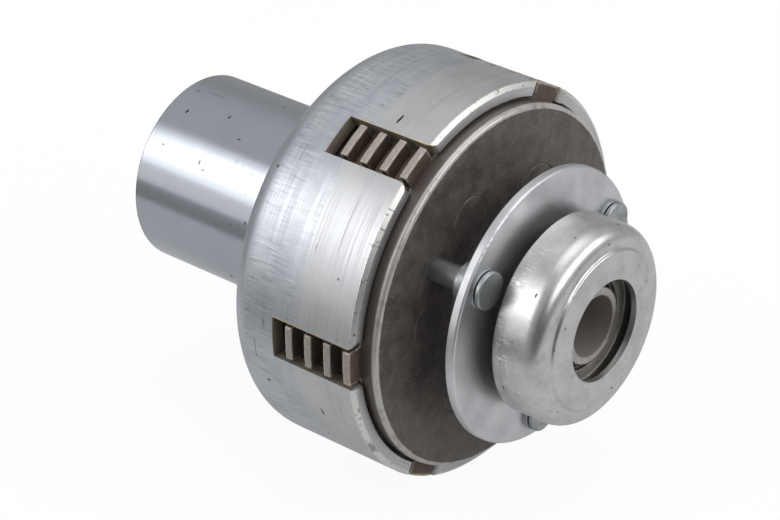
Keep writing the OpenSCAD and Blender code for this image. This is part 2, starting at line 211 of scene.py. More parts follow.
@dataclass
class Turned(Sums):
    """Coordinates and marks in millimetres on a part that is turned about the X axis.

    The profile runs along the piece's outline, so that marks keep their size round an edge. Lean is 1 where
    the outline climbs outwards as it goes forward, and -1 where it falls.
    """

    radius: float = 48.0
    lean: float = 1.0
    ragged: float = 0.9
    ragged_scale: float = 1.1
    nick_edge: tuple = (0.6, 0.35)
    nick_full: float = 0.3

    def __post_init__(self) -> None:
        """Splits Object coordinates into a place along, around and out from the axis."""
        tree = self.tree
        metres = {0: add(tree, "ShaderNodeTexCoord").outputs["Object"], "Scale": 1 / MM}
        self.place = add(tree, "ShaderNodeVectorMath", metres, operation="SCALE").outputs[0]
        split = add(tree, "ShaderNodeSeparateXYZ", {0: self.place}).outputs
        self.along = split["X"]
        flat = add(tree, "ShaderNodeCombineXYZ", {1: split["Y"], 2: split["Z"]}).outputs[0]
        self.out = add(tree, "ShaderNodeVectorMath", {0: flat}, operation="LENGTH").outputs["Value"]
        self.turn = add(tree, "ShaderNodeMath", {0: split["Z"], 1: split["Y"]}, operation="ARCTAN2").outputs[0]
        spoke = add(tree, "ShaderNodeVectorMath", {0: flat}, operation="NORMALIZE").outputs[0]
        self.spoke = add(tree, "ShaderNodeSeparateXYZ", {0: spoke}).outputs
        outline = {0: self.out, 1: self.lean, 2: self.along}
        self.profile = add(tree, "ShaderNodeMath", outline, operation="MULTIPLY_ADD").outputs[0]

    def stretch(self, axis: Axis, length: float, width: float) -> Socket:
        """Coordinates in which a mark of a length and width is one unit each way.

        Args:
            axis: way that the marks run.
            length: length of a mark in millimetres.
            width: width of a mark in millimetres.

        Returns:
            The coordinates, which close on themselves round the axis.
        """
        along, around = (length, width) if axis is Axis.ALONG else (width, length)
        parts = [self.times(self.profile, 1 / along)]
        parts += [self.times(self.spoke[i], self.radius / around) for i in (1, 2)]
        return add(self.tree, "ShaderNodeCombineXYZ", dict(enumerate(parts))).outputs[0]

    def marks(self, axis: Axis, length: float, width: float, detail: float = 3.0) -> Socket:
        """Noise from 0 to 1, drawn out into marks of a length and width in millimetres."""
        noise = {"Vector": self.stretch(axis, length, width), "Scale": 1.0, "Detail": detail, "Roughness": 0.55}
        return add(self.tree, "ShaderNodeTexNoise", noise).outputs["Fac"]

    def mottle(self, size: float, detail: float = 4.0) -> Socket:
        """Even noise from 0 to 1 with blots of a size in millimetres."""
        noise = {"Vector": self.place, "Scale": 1 / size, "Detail": detail, "Roughness": 0.6}
        return add(self.tree, "ShaderNodeTexNoise", noise).outputs["Fac"]

    def streaks(self, axis: Axis, length: float, width: float, low: float, high: float, detail: float) -> Socket:
        """Marks of a length and width in millimetres, which come in between two levels of their noise."""
        return self.ramp(self.marks(axis, length, width, detail), low, high)

    def blots(self, size: float, low: float, high: float, detail: float = 4.0) -> Socket:
        """Blots of a size in millimetres, which come in between two levels of their noise."""
        return self.ramp(self.mottle(size, detail), low, high)

    def nicks(self, axis: Axis, length: float, width: float, spread: float, share: float) -> Socket:
        """Separate small marks with ragged edges at random places.

        Args:
            axis: way that the marks run.
            length: length of a mark in millimetres.
            width: width of a mark in millimetres.
            spread: distance between places for a mark, in marks.
            share: part of the places that have one, from 0 to 1.

        Returns:
            Up to 1 inside a mark, as some are fainter, and 0 elsewhere.
        """
        place = self.stretch(axis, length, width)
        noise = {"Vector": place, "Scale": self.ragged_scale, "Detail": 2.0}
        torn = add(self.tree, "ShaderNodeTexNoise", noise).outputs["Color"]
        shift = {0: torn, 1: (self.ragged,) * 3, 2: place}
        moved = add(self.tree, "ShaderNodeVectorMath", shift, operation="MULTIPLY_ADD").outputs[0]
        found = add(self.tree, "ShaderNodeTexVoronoi", {"Vector": moved, "Scale": 1 / spread}).outputs
        chance = add(self.tree, "ShaderNodeSeparateColor", {0: found["Color"]}).outputs[0]
        near = self.ramp(found["Distance"], *[edge / spread for edge in self.nick_edge])
        return self.times(near, self.ramp(chance, share, share * self.nick_full))

    def band(self, value: Socket, start: float, end: float, soft: float) -> Socket:
        """1 from start to end of a value, falling to 0 within a soft distance."""
        return self.times(self.ramp(value, start - soft, start), self.ramp(value, end + soft, end))


@dataclass(frozen=True)
class Metal:
    """A bare or plated metal with a plain satin surface, worn a little unevenly and rubbed on its edges.

    In all finishes, marks are given as a way, length and width in millimetres and detail, streaks with two
    levels before the detail, nicks with spread and share after the width, and blots as a size in millimetres,
    two levels and detail.
    """

    name: str
    colour: str
    shade: str
    roughness: float
    blot_mm: float = 6.0
    grain_mm: float = 0.3
    bump_mm: float = 0.003
    edge_mm: float = 0.25
    edge: str = "#D8D9DA"
    radius_mm: float = 48.0
    lean: float = 1.0
    metallic: float = 1.0
    dulling: float = 1.3
    worn_blots: tuple = (1.5, 0.3, 0.65, 3.0)

    def build(self) -> bpy.types.Material:
        """Makes the material.

        Returns:
            The finished material.
        """
        material = bpy.data.materials.new(self.name)
        material.use_nodes = True
        tree = material.node_tree
        tree.nodes.clear()
        shader = add(tree, "ShaderNodeBsdfPrincipled", {"Metallic": self.metallic})
        add(tree, "ShaderNodeOutputMaterial", {"Surface": shader.outputs[0]})
        for name, socket in self.dress(Turned(tree, self.radius_mm, self.lean)).items():
            tree.links.new(socket, shader.inputs[name])
        return material

    def dress(self, turned: Turned) -> dict:
        """Draws the metal's colour, gloss and grain.

        Args:
            turned: coordinates about the axis.

        Returns:
            The shader's inputs by name.
        """
        blots = turned.blots(self.blot_mm, *BLOT_LEVELS)
        rubbed, edges = self.edges(turned)
        return {
            "Base Color": turned.coats(self.colour, (blots, 1.0, self.shade), (rubbed, 1.0, self.edge)),
            "Roughness": turned.vary(blots, self.roughness, self.roughness * self.dulling),
            "Normal": self.relief(turned, turned.mottle(self.grain_mm), self.bump_mm, edges),
        }

    def edges(self, turned: Turned) -> tuple[Socket, Socket]:
        """Finds the piece's edges.

        Args:
            turned: coordinates about the axis.

        Returns:
            Where the edges are rubbed, from 0 to 1, and the normal of the broken edges.
        """
        tree = turned.tree
        soft = add(tree, "ShaderNodeBevel", {"Radius": self.edge_mm * MM}, samples=6).outputs[0]
        hard = add(tree, "ShaderNodeNewGeometry").outputs["Normal"]
        same = add(tree, "ShaderNodeVectorMath", {0: soft, 1: hard}, operation="DOT_PRODUCT").outputs["Value"]
        broken = {0: turned.ramp(same, *ROUNDED_LEVELS), 4: hard, 5: soft}
        normal = add(tree, "ShaderNodeMix", broken, data_type="VECTOR").outputs[1]
        return turned.times(turned.ramp(same, *RUBBED_LEVELS), turned.blots(*self.worn_blots)), normal

    def relief(self, turned: Turned, height: Socket, depth_mm: float, below: Socket) -> Socket:
        """Raises a fine relief on a normal.

        Args:
            turned: coordinates about the axis.
            height: relief from 0 to 1.
            depth_mm: height of the relief.
            below: normal of the surface below.

        Returns:
            The normal.
        """
        bump = {"Height": height, "Distance": depth_mm * MM, "Strength": 1.0, "Normal": below}
        return add(turned.tree, "ShaderNodeBump", bump).outputs[0]


@dataclass(frozen=True)
class GroundSteel(Metal):
    """Turned and ground steel of the drum and its tube.

    The tube is smooth enough to mirror the room. Behind the slots the drum shows a band of short grinding
    marks along the axis, and in front of it fine turning rings. Both are scratched and nicked by handling.
    The front chamfer is where the distances along and out from the axis add up to chamfer_mm; it is painted
    near white as a painted highlight, with real chips over it. A thin line of painted shade darkens the
    tube's rear outer edge.
    """

    tube_end_mm: float = 54.0
    tube_blend_mm: float = 1.0
    tube_tone: str = "#B7BCC4"
    tube_roughness: float = 0.16
    # Painted shade: a thin dark line along the tube's rear outer edge.
    rear_edge_out_mm: tuple = (24.0, 24.3)
    rear_edge_along_mm: tuple = (0.6, 0.25)
    rear_edge_shade: str = "#5C5D60"
    shade_levels: tuple = (0.38, 0.68, 3.0)
    wander_blots: tuple = (9.0, 2.0)
    wander_mm: float = 0.8
    chatter_mm: tuple = (60.5, 76.0, 0.7)
    dash_marks: tuple = (Axis.ALONG, 6.0, 0.42, 2.0)
    dash_blots: tuple = (11.0, 0.3, 0.55, 2.0)
    light_levels: tuple = (0.54, 0.64)
    dark_levels: tuple = (0.44, 0.36)
    chatter_light: str = "#E4E6E8"
    chatter_dark: str = "#8F9398"
    chatter_bump_mm: float = 0.004
    front_mm: tuple = (75.0, 77.0)
    front_tone: str = "#D2D0CC"
    ring_marks: tuple = (Axis.ROUND, 70.0, 0.35, 3.0)
    ring_levels: tuple = (0.35, 0.65)
    fine_streaks: tuple = (Axis.ROUND, 14.0, 0.3, 0.5, 0.7, 3.0)
    rub_streaks: tuple = (Axis.ROUND, 22.0, 0.22, 0.7, 0.75, 1.0)
    long_nicks: tuple = (Axis.ALONG, 5.0, 0.4, 7.0, 0.25)
    round_nicks: tuple = (Axis.ROUND, 6.0, 0.35, 6.0, 0.2)
    scratch: str = "#707173"
    small_pits: tuple = (Axis.ALONG, 1.1, 0.8, 6.5, 0.6)
    round_pits: tuple = (Axis.ROUND, 2.6, 0.7, 5.5, 0.45)
    pit: str = "#4A4642"
    # The chamfer colour is a painted highlight, near white, with real chips laid over it.
    chamfer_mm: tuple = (142.35, 142.6)
    chamfer: str = "#F1EFEA"
    chip_blots: tuple = (1.0, 0.6, 0.68, 3.0)
    chip: str = "#6E675E"
    slot_count: int = 6
    slot_turn: float = 1.4
    slot_width_mm: float = 10.7
    slot_start_mm: tuple = (69.1, 69.3)
    wall_skin_mm: tuple = (0.12, 0.04)
    wall: str = "#8C8274"
    wall_roughness: float = 0.7
    wall_metallic: float = 0.2
    residue_mm: float = 0.4
    residue_blots: tuple = (4.0, 0.36, 0.56, 2.0)
    residue: str = "#DDD2A6"

    def slots(self, turned: Turned) -> tuple[Socket, Socket]:
        """Finds the slots' walls and the thin line of old plating that stays along one edge of each.

        Args:
            turned: coordinates about the axis.

        Returns:
            Two masks, 1 on the walls and 1 on the line.
        """
        tree = turned.tree
        step = math.tau / self.slot_count
        ahead = math.tau - math.radians(self.slot_turn) + step / 2
        offset = add(tree, "ShaderNodeMath", {0: turned.turn, 1: ahead}, operation="ADD").outputs[0]
        cycle = add(tree, "ShaderNodeMath", {0: offset, 1: step}, operation="FLOORED_MODULO").outputs[0]
        off_centre = add(tree, "ShaderNodeMath", {0: cycle, 1: step / 2}, operation="SUBTRACT").outputs[0]
        angle = add(tree, "ShaderNodeMath", {0: off_centre}, operation="ABSOLUTE").outputs[0]
        upper = add(tree, "ShaderNodeMath", {0: off_centre, 1: 0.0}, operation="LESS_THAN").outputs[0]
        side = turned.times(angle, turned.out)
        half = self.slot_width_mm / 2
        slotted = turned.ramp(turned.along, *self.slot_start_mm)
        walls = turned.times(turned.ramp(side, *[half + skin for skin in self.wall_skin_mm]), slotted)
        line = turned.band(side, half, half + self.residue_mm, self.residue_mm)
        return walls, turned.times(line, turned.blots(*self.residue_blots), slotted, upper)

    def dress(self, turned: Turned) -> dict:
        """Draws the grinding marks, rings, scratches, pits and worn edges.

        Args:
            turned: coordinates about the axis.

        Returns:
            The shader's inputs by name.
        """
        tree = turned.tree
        wander = turned.vary(turned.mottle(*self.wander_blots), -self.wander_mm, self.wander_mm)
        along = add(tree, "ShaderNodeMath", {0: turned.along, 1: wander}, operation="ADD").outputs[0]
        on_drum = turned.ramp(turned.along, self.tube_end_mm - self.tube_blend_mm, self.tube_end_mm)
        chatter = turned.band(along, *self.chatter_mm)
        dashes = turned.marks(*self.dash_marks)
        patches = turned.blots(*self.dash_blots)
        light = turned.times(turned.ramp(dashes, *self.light_levels), chatter, patches)
        dark = turned.times(turned.ramp(dashes, *self.dark_levels), chatter, patches)
        rings = turned.marks(*self.ring_marks)
        rubs = turned.times(turned.streaks(*self.rub_streaks), on_drum)
        scores = turned.either(turned.nicks(*self.long_nicks), turned.nicks(*self.round_nicks))
        pits = turned.either(turned.nicks(*self.small_pits), turned.nicks(*self.round_pits))
        outer_edge = turned.ramp(turned.out, *self.rear_edge_out_mm)
        chamfer = turned.ramp(turned.profile, *self.chamfer_mm)
        walls, residue = self.slots(turned)
        rubbed, edges = self.edges(turned)
        colour = turned.coats(
            turned.tint(on_drum, self.tube_tone, self.colour),
            (turned.blots(self.blot_mm, *self.shade_levels), 0.7, self.shade),
            (turned.ramp(along, *self.front_mm), 0.4, self.front_tone),
            (turned.times(turned.streaks(*self.fine_streaks), on_drum), 0.15, self.chatter_dark),
            (light, 0.35, self.chatter_light),
            (dark, 0.45, self.chatter_dark),
            # painted shade on the tube's rear outer edge
            (turned.times(turned.ramp(turned.along, *self.rear_edge_along_mm), outer_edge), 0.8, self.rear_edge_shade),
            # painted highlight on the front chamfer
            (chamfer, 0.7, self.chamfer),
            (turned.either(rubs, scores), 0.7, self.scratch),
            (rubbed, 1.0, self.edge),
            (residue, 0.7, self.residue),
            (turned.times(turned.blots(*self.chip_blots), chamfer), 0.8, self.chip),
            (pits, 1.0, self.pit),
            (walls, 1.0, self.wall),
        )
        ringed = turned.ramp(rings, *self.ring_levels)
        drum_rough = turned.vary(ringed, self.roughness, self.roughness * self.dulling)
        tube_rough = turned.vary(ringed, self.tube_roughness, self.tube_roughness * self.dulling)
        ground = self.relief(turned, rings, self.bump_mm, edges)
        relief = {0: turned.times(dashes, chatter), 1: pits}
        height = add(tree, "ShaderNodeMath", relief, operation="SUBTRACT").outputs[0]
        return {
            "Base Color": colour,
            "Metallic": turned.vary(walls, self.metallic, self.wall_metallic),
            "Roughness": turned.mix(walls, turned.mix(on_drum, tube_rough, drum_rough), self.wall_roughness),
            "Normal": self.relief(turned, height, self.chatter_bump_mm, ground),
        }


@dataclass(frozen=True)
class Sinter(Metal):
    """Sintered friction metal: dull, brown and grainy, paler on the lugs' worn ends, with a few open pores."""

    pore_mm: float = 0.3
    pore_levels: tuple = (0.45, 0.3)
    pore_nicks: tuple = (Axis.ROUND, 0.9, 0.6, 3.0, 0.12)
    pore: str = "#5A4E46"
    pore_roughness: float = 0.8
    end_mm: tuple = (49.2, 49.6)
    end_share: tuple = (0.6, 1.0)
    worn: str = "#C4BBB3"

    def dress(self, turned: Turned) -> dict:
        """Draws the grains, the pores and the paler ends.

        Args:
            turned: coordinates about the axis.

        Returns:
            The shader's inputs by name.
        """
        grains = turned.mottle(self.pore_mm, 3.0)
        fine_pores = turned.times(turned.ramp(grains, *self.pore_levels), 0.5)
        pores = turned.either(fine_pores, turned.nicks(*self.pore_nicks))
        rubbed, edges = self.edges(turned)
        colour = turned.coats(
            self.colour,
            (turned.blots(self.blot_mm, *BLOT_LEVELS), 1.0, self.shade),
            (turned.ramp(turned.out, *self.end_mm), turned.vary(grains, *self.end_share), self.worn),
            (pores, 1.0, self.pore),
            (rubbed, 0.8, self.edge),
        )
        return {
            "Base Color": colour,
            "Roughness": turned.vary(pores, self.roughness, self.pore_roughness),
            "Normal": self.relief(turned, grains, self.bump_mm, edges),
        }


@dataclass(frozen=True)
class DarkPlate(Metal):
    """Hardened plate: oil-dark and mottled on its face, with faint rubbed arcs, and worn grey on its rim, whose
    back part in the gap to the drum is darkened with painted shadow.
    """

    dulling: float = 1.25
    face_levels: tuple = (0.35, 0.68)
    speck_blots: tuple = (0.6, 0.54, 0.7, 3.0)
    arc_streaks: tuple = (Axis.ROUND, 18.0, 0.4, 0.64, 0.74, 2.0)
    wander_blots: tuple = (2.5, 3.0)
    wander_mm: float = 0.3
    rim_mm: tuple = (44.55, 44.85)
    rim_blots: tuple = (3.0, 0.48, 0.72, 5.0)
    rim: str = "#CBC8C5"
    rim_roughness: float = 0.3
    # Behind front_mm the rim takes the side colour, a painted shadow in the gap to the drum.
    front_mm: tuple = (95.6, 96.3)
    side: str = "#736B65"

    def dress(self, turned: Turned) -> dict:
        """Draws the dark face, the paler rim and the painted shadow on the rim's back part.

        Args:
            turned: coordinates about the axis.

        Returns:
            The shader's inputs by name.
        """
        wander = turned.vary(turned.mottle(*self.wander_blots), -self.wander_mm, self.wander_mm)
        reach = add(turned.tree, "ShaderNodeMath", {0: turned.out, 1: wander}, operation="ADD").outputs[0]
        paler = turned.ramp(reach, *self.rim_mm)
        blots = turned.blots(self.blot_mm, *self.face_levels)
        specks = turned.times(turned.blots(*self.speck_blots), 0.45)
        arcs = turned.times(turned.streaks(*self.arc_streaks), 0.2)
        rubbed, edges = self.edges(turned)
        # Rim: pale worn grey in front, painted shadow behind, and patches of the same dark tone over the front.
        rim = turned.coats(
            self.side,
            (turned.ramp(turned.along, *self.front_mm), 1.0, self.rim),
            (turned.blots(*self.rim_blots), 0.5, self.side),
        )
        colour = turned.coats(
            self.colour,
            (blots, 1.0, self.shade),
            (turned.either(specks, arcs), 1.0, self.edge),
            (paler, 1.0, rim),
            (rubbed, 1.0, self.edge),
        )
        rough = turned.vary(blots, self.roughness, self.roughness * self.dulling)
        return {
            "Base Color": colour,
            "Roughness": turned.mix(paler, rough, self.rim_roughness),
            "Normal": self.relief(turned, turned.mottle(self.grain_mm), self.bump_mm, edges),
        }


@dataclass(frozen=True)
class PressedSteel(Metal):
    """Deep-drawn sheet of the bearing cup: satin, grooved and ticked on its wall, pitted on its face."""

    wall_out_mm: tuple = (22.5, 23.5)
    wall_end_mm: tuple = (120.0, 118.0)
    tick_streaks: tuple = (Axis.ALONG, 1.8, 0.45, 0.58, 0.64, 1.0)
    tick_blots: tuple = (8.0, 0.46, 0.56, 2.0)
    ring_marks: tuple = (Axis.ROUND, 40.0, 0.3, 2.0)
    scuff_levels: tuple = (0.62, 0.72)
    scuff: str = "#F8F8F8"
    groove_levels: tuple = (0.4, 0.3)
    groove: str = "#8B8883"
    stain_blots: tuple = (3.5, 0.56, 0.75)
    stain: str = "#A6A39C"
    pit_nicks: tuple = (Axis.ROUND, 1.0, 0.6, 4.5, 0.3)
    pit_blots: tuple = (0.7, 0.64, 0.74, 2.0)
    pit_depth: float = 3.0
    pit: str = "#4F4A45"
    polish: float = 0.85

    def dress(self, turned: Turned) -> dict:
        """Draws the drawing marks, scuffs, stains and pits.

        Args:
            turned: coordinates about the axis.

        Returns:
            The shader's inputs by name.
        """
        on_wall = turned.times(
            turned.ramp(turned.out, *self.wall_out_mm),
            turned.ramp(turned.along, *self.wall_end_mm),
        )
        rings = turned.marks(*self.ring_marks)
        ticks = turned.times(turned.streaks(*self.tick_streaks), on_wall, turned.blots(*self.tick_blots))
        scuffs = turned.times(turned.ramp(rings, *self.scuff_levels), 0.35)
        specks = turned.times(turned.blots(*self.pit_blots), 0.4)
        pits = turned.either(turned.nicks(*self.pit_nicks), specks)
        rubbed, edges = self.edges(turned)
        colour = turned.coats(
            self.colour,
            (turned.blots(self.blot_mm, *BLOT_LEVELS), 1.0, self.shade),
            (turned.blots(*self.stain_blots), 0.5, self.stain),
            (turned.times(turned.ramp(rings, *self.groove_levels), on_wall), 0.45, self.groove),
            (turned.either(ticks, scuffs), 1.0, self.scuff),
            (rubbed, 0.8, self.edge),
            (pits, 1.0, self.pit),
        )
        relief = {0: turned.mottle(self.grain_mm), 1: turned.times(pits, self.pit_depth)}
        height = add(turned.tree, "ShaderNodeMath", relief, operation="SUBTRACT").outputs[0]
        return {
            "Base Color": colour,
            "Roughness": turned.vary(rings, self.roughness * self.polish, self.roughness * self.dulling),
            "Normal": self.relief(turned, height, self.bump_mm, edges),
        }


@dataclass(frozen=True)
class TurnedSleeve(Metal):
    """Turned sleeve: clean and bright outside, dull and oily in its bore."""

    bore_mm: tuple = (8.0, 7.8)
    bore: str = "#A29B94"
    bore_roughness: float = 0.7
    bore_metallic: float = 0.4

    def dress(self, turned: Turned) -> dict:
        """Draws the plain metal with a dull bore.

        Args:
            turned: coordinates about the axis.

        Returns:
            The shader's inputs by name.
        """
        drawn = super().dress(turned)
        inside = turned.ramp(turned.out, *self.bore_mm)
        drawn["Base Color"] = turned.tint(inside, drawn["Base Color"], self.bore)
        drawn["Roughness"] = turned.mix(inside, drawn["Roughness"], self.bore_roughness)
        drawn["Metallic"] = turned.vary(inside, self.metallic, self.bore_metallic)
        return drawn


# Ground steel: bright blue-grey, clear reflections on the tube and softer ones on the drum
GROUND_STEEL = GroundSteel("ground_steel", "#C8CCD2", "#B4B8C0", 0.36, 12.0, bump_mm=0.0008, edge_mm=0.12)
# Sintered bronze and iron: dull brown grains without a clear reflection
SINTER = Sinter(
    "sintered_friction_metal",
    "#77695F",
    "#63574F",
    0.55,
    5.0,
    bump_mm=0.02,
    edge_mm=0.8,
    edge="#F2ECE4",
    metallic=0.6,
)
# Oil-dark hardened steel: charcoal with a weak sheen
DARK_PLATE = DarkPlate(
    "oil_dark_hardened_plate",
    "#625D59",
    "#7C7571",
    0.48,
    4.5,
    bump_mm=0.006,
    edge="#A8A29E",
    lean=-1.0,
    metallic=0.5,
)
# Ground plate steel, oiled and browned by heat
PLAIN_STEEL = Metal("ground_plate_steel", "#9A8A7C", "#83756A", 0.5, edge="#B0A498", metallic=0.5)
# Machined medium steel, even and grey
HUB_STEEL = Metal("machined_hub_steel", "#9C9A97", "#84817E", 0.35)
# Oiled spring steel: dark and smooth
SPRING_STEEL = Metal("oiled_spring_steel", "#565656", "#464545", 0.35, edge="#8A8A8A")
# Pressed and oiled dust shield, darker than the race it covers
SHIELD_STEEL = Metal(
    "pressed_shield_steel",
    "#B4B0AB",
    "#97938E",
    0.5,
    edge="#D9D7D4",
    radius_mm=14.0,
    lean=-1.0,
    metallic=0.4,
)
# Bright zinc plate: pale with a cold tint and a soft sheen
ZINC_PLATE = Metal(
    "zinc_plate", "#DADBDE", "#CACCCF", 0.34, 8.0, edge_mm=0.3, edge="#FBFBFB", radius_mm=30.0, lean=-1.0
)
# Older zinc plate on the pins: greyer and duller than on the release plate
PIN_PLATE = Metal(
    "dull_zinc_plate", "#B4B8BA", "#9DA1A3", 0.36, 3.0, edge_mm=0.3, edge="#E6E7E7", radius_mm=30.0, lean=-1.0
)
# Deep-drawn steel sheet: satin, a little warm, with soft highlights
PRESSED_STEEL = PressedSteel("deep_drawn_steel", "#D6D6D6", "#C6C5C4", 0.28, 5.0, radius_mm=24.0, lean=-1.0)
# Turned sleeve steel: clean and bright
SLEEVE_STEEL = TurnedSleeve("turned_sleeve_steel", "#BDBAB8", "#A8A4A1", 0.26, radius_mm=10.0, lean=-1.0)
# Polished race steel: nearly a mirror
RACE_STEEL = Metal("polished_race_steel", "#C4C4C4", "#B5B5B5", 0.15, radius_mm=16.0)
# Bearing bronze: warm yellow-brown, turned
BRONZE = Metal("bearing_bronze", "#B08850", "#93703F", 0.35, edge="#D0A868")


@dataclass
class SubAssembly:
    """Pieces of the clutch that share a place in it, with the finish of each."""

    name: str = ""
    finishes: dict = field(default_factory=dict)

    def build(self, made: dict) -> None:
        """Makes the pieces that replace plain solids. Most sub-assemblies have none."""

    def finish(self, finish: Metal, made: dict) -> bpy.types.Material:
        """Builds a finish once.

        Args:
            finish: finish that is wanted.
            made: materials that are already built, by finish name.

        Returns:
            Its material.
        """
        if finish.name not in made:
            made[finish.name] = finish.build()
        return made[finish.name]

    def dress(self, made: dict) -> None:
        """Gives every piece of the frame its finish.

        Args:
            made: materials that are already built, by finish name.
        """
        for node, finish in self.finishes.items():
            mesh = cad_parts[node].data
            mesh.materials.clear()
            mesh.materials.append(self.finish(finish, made))
            LOG.info("%s: %s is %s", self.name, node, finish.name)


@dataclass
class OuterMember(SubAssembly):
    """Drum with its tube, the pilot bush and the four lugged discs that the drum drives."""

    name: str = "outer member"
    disc_count: int = 4

    def __post_init__(self) -> None:
        """Lists the finishes."""
        self.finishes = {"clutch_drum": GROUND_STEEL, "pilot_bush": BRONZE}
        self.finishes |= {f"friction_disc_{i}": SINTER for i in range(1, self.disc_count + 1)}


@dataclass
class DrivenMember(SubAssembly):
    """Hub with its front plate, plain plates, pressure plate and disc springs. Sizes are in millimetres."""

    name: str = "driven member"
    plate_count: int = 3
    spring_in_r: float = 21.6
    spring_out_r: float = 31.0
    spring_t: float = 1.3
    spring_cone: float = 1.15
    spring_round: int = 144
    spring_travel: float = 1.6
    springs: tuple = (("disc_spring_1", Facing.REAR), ("disc_spring_2", Facing.FRONT))

    def __post_init__(self) -> None:
        """Lists the finishes."""
        self.finishes = {
            "driven_hub": HUB_STEEL,
            "front_plate": DARK_PLATE,
            "hub_rivets": DARK_PLATE,
            "pressure_plate": HUB_STEEL,
            "backing_ring": HUB_STEEL,
            "retaining_ring": SPRING_STEEL,
        }
        self.finishes |= {f"steel_plate_{i}": PLAIN_STEEL for i in range(1, self.plate_count + 1)}

    def spring_tree(self) -> Tree:
        """Sweeps a disc spring's section round the axis.

        Returns:
            The tree, with the spring's sizes as named inputs.
        """
        tree = bpy.data.node_groups.new("disc_spring", "GeometryNodeTree")
        for name in ("Inner Radius", "Width", "Thickness", "Cone", "Start", "Facing"):
            tree.interface.new_socket(name, in_out="INPUT", socket_type="NodeSocketFloat")
        tree.interface.new_socket("Round", in_out="INPUT", socket_type="NodeSocketInt")
        tree.interface.new_socket("Finish", in_out="INPUT", socket_type="NodeSocketMaterial")
        tree.interface.new_socket("Geometry", in_out="OUTPUT", socket_type="NodeSocketGeometry")
        given = add(tree, "NodeGroupInput").outputs
        cone = {0: given["Cone"], 1: given["Facing"]}
        rise = add(tree, "ShaderNodeMath", cone, operation="MULTIPLY").outputs[0]
        corners = []
        for outer, upper in ((False, False), (True, False), (True, True), (False, True)):
            level = given["Start"]
            for climbs, step in ((outer, rise), (upper, given["Thickness"])):
                if climbs:
                    level = add(tree, "ShaderNodeMath", {0: level, 1: step}, operation="ADD").outputs[0]
            place = {0: given["Width"], 1: level} if outer else {1: level}
            corners.append(add(tree, "ShaderNodeCombineXYZ", place).outputs[0])
        points = {f"Point {i}": corner for i, corner in enumerate(corners, 1)}
        section = add(tree, "GeometryNodeCurvePrimitiveQuadrilateral", points, mode="POINTS").outputs[0]
        path = {"Resolution": given["Round"], "Radius": given["Inner Radius"]}
        circle = add(tree, "GeometryNodeCurvePrimitiveCircle", path, mode="RADIUS").outputs["Curve"]
        swept = add(tree, "GeometryNodeCurveToMesh", {"Curve": circle, "Profile Curve": section}).outputs[0]
        lay = {"Geometry": swept, "Rotation": (0.0, -math.pi / 2, 0.0)}
        laid = add(tree, "GeometryNodeTransform", lay).outputs[0]
        real = add(tree, "GeometryNodeRealizeInstances", {"Geometry": laid}).outputs[0]
        paint = {"Geometry": real, "Material": given["Finish"]}
        painted = add(tree, "GeometryNodeSetMaterial", paint).outputs[0]
        add(tree, "NodeGroupOutput", {"Geometry": painted})
        return tree

    def build(self, made: dict) -> None:
        """Makes both disc springs as fixed cones; in the clutch they flatten as it is released.

        Args:
            made: materials that are already built, by finish name.
        """
        tree = self.spring_tree()
        for node, facing in self.springs:
            low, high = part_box(node)
            narrow = low.x if facing is Facing.REAR else high.x - self.spring_t * MM
            sizes = {
                "Inner Radius": self.spring_in_r * MM,
                "Width": (self.spring_out_r - self.spring_in_r) * MM,
                "Thickness": self.spring_t * MM,
                "Cone": self.spring_cone * MM,
                "Start": narrow,
                "Facing": facing.value,
                "Round": self.spring_round,
                "Finish": self.finish(SPRING_STEEL, made),
            }
            spring = self.realise(f"{node}_formed", tree, sizes)
            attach(spring, "hub")
            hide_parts(node)
            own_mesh(spring)
            LOG.info("%s: %s is %s", self.name, spring.name, SPRING_STEEL.name)

    def realise(self, name: str, tree: Tree, sizes: dict) -> bpy.types.Object:
        """Runs a node tree and keeps its result as a plain mesh.

        Args:
            name: name of the new piece.
            tree: tree that makes it.
            sizes: the tree's inputs by name.

        Returns:
            The piece, with its place in its mesh and no modifier.
        """
        piece = bpy.data.objects.new(name, bpy.data.meshes.new(name))
        bpy.context.scene.collection.objects.link(piece)
        modifier = piece.modifiers.new(name, "NODES")
        modifier.node_group = tree
        for socket in tree.interface.items_tree:
            if socket.in_out == "INPUT":
                modifier[socket.identifier] = sizes[socket.name]
        evaluated = piece.evaluated_get(bpy.context.evaluated_depsgraph_get())
        mesh = bpy.data.meshes.new_from_object(evaluated)
        piece.modifiers.remove(modifier)
        piece.data = mesh
        mesh.name = name
        return piece


@dataclass
class ReleaseGear(SubAssembly):
    """Pins with their washers, the release plate and the thrust bearing on its sleeve."""

    name: str = "release gear"

    def __post_init__(self) -> None:
        """Lists the finishes."""
        self.finishes = {
            "release_pins": PIN_PLATE,
            "pin_washers": PIN_PLATE,
            "release_plate": ZINC_PLATE,
            "bearing_sleeve": SLEEVE_STEEL,
            "inner_race": RACE_STEEL,
            "bearing_balls": RACE_STEEL,
            "ball_cage": BRONZE,
            "outer_race": RACE_STEEL,
            "front_shield": SHIELD_STEEL,
            "rear_shield": SHIELD_STEEL,
            "bearing_cup": PRESSED_STEEL,
        }


@dataclass(frozen=True)
class SoftBox:
    """A rectangular lamp that faces the clutch. Angles are in degrees and lengths in metres."""

    name: str
    azimuth: float
    elevation: float
    reach: float
    width: float
    height: float
    radiance: float

    @property
    def power(self) -> float:
        """Power in watts that gives the lamp its radiance."""
        return 4 * self.width * self.height * self.radiance


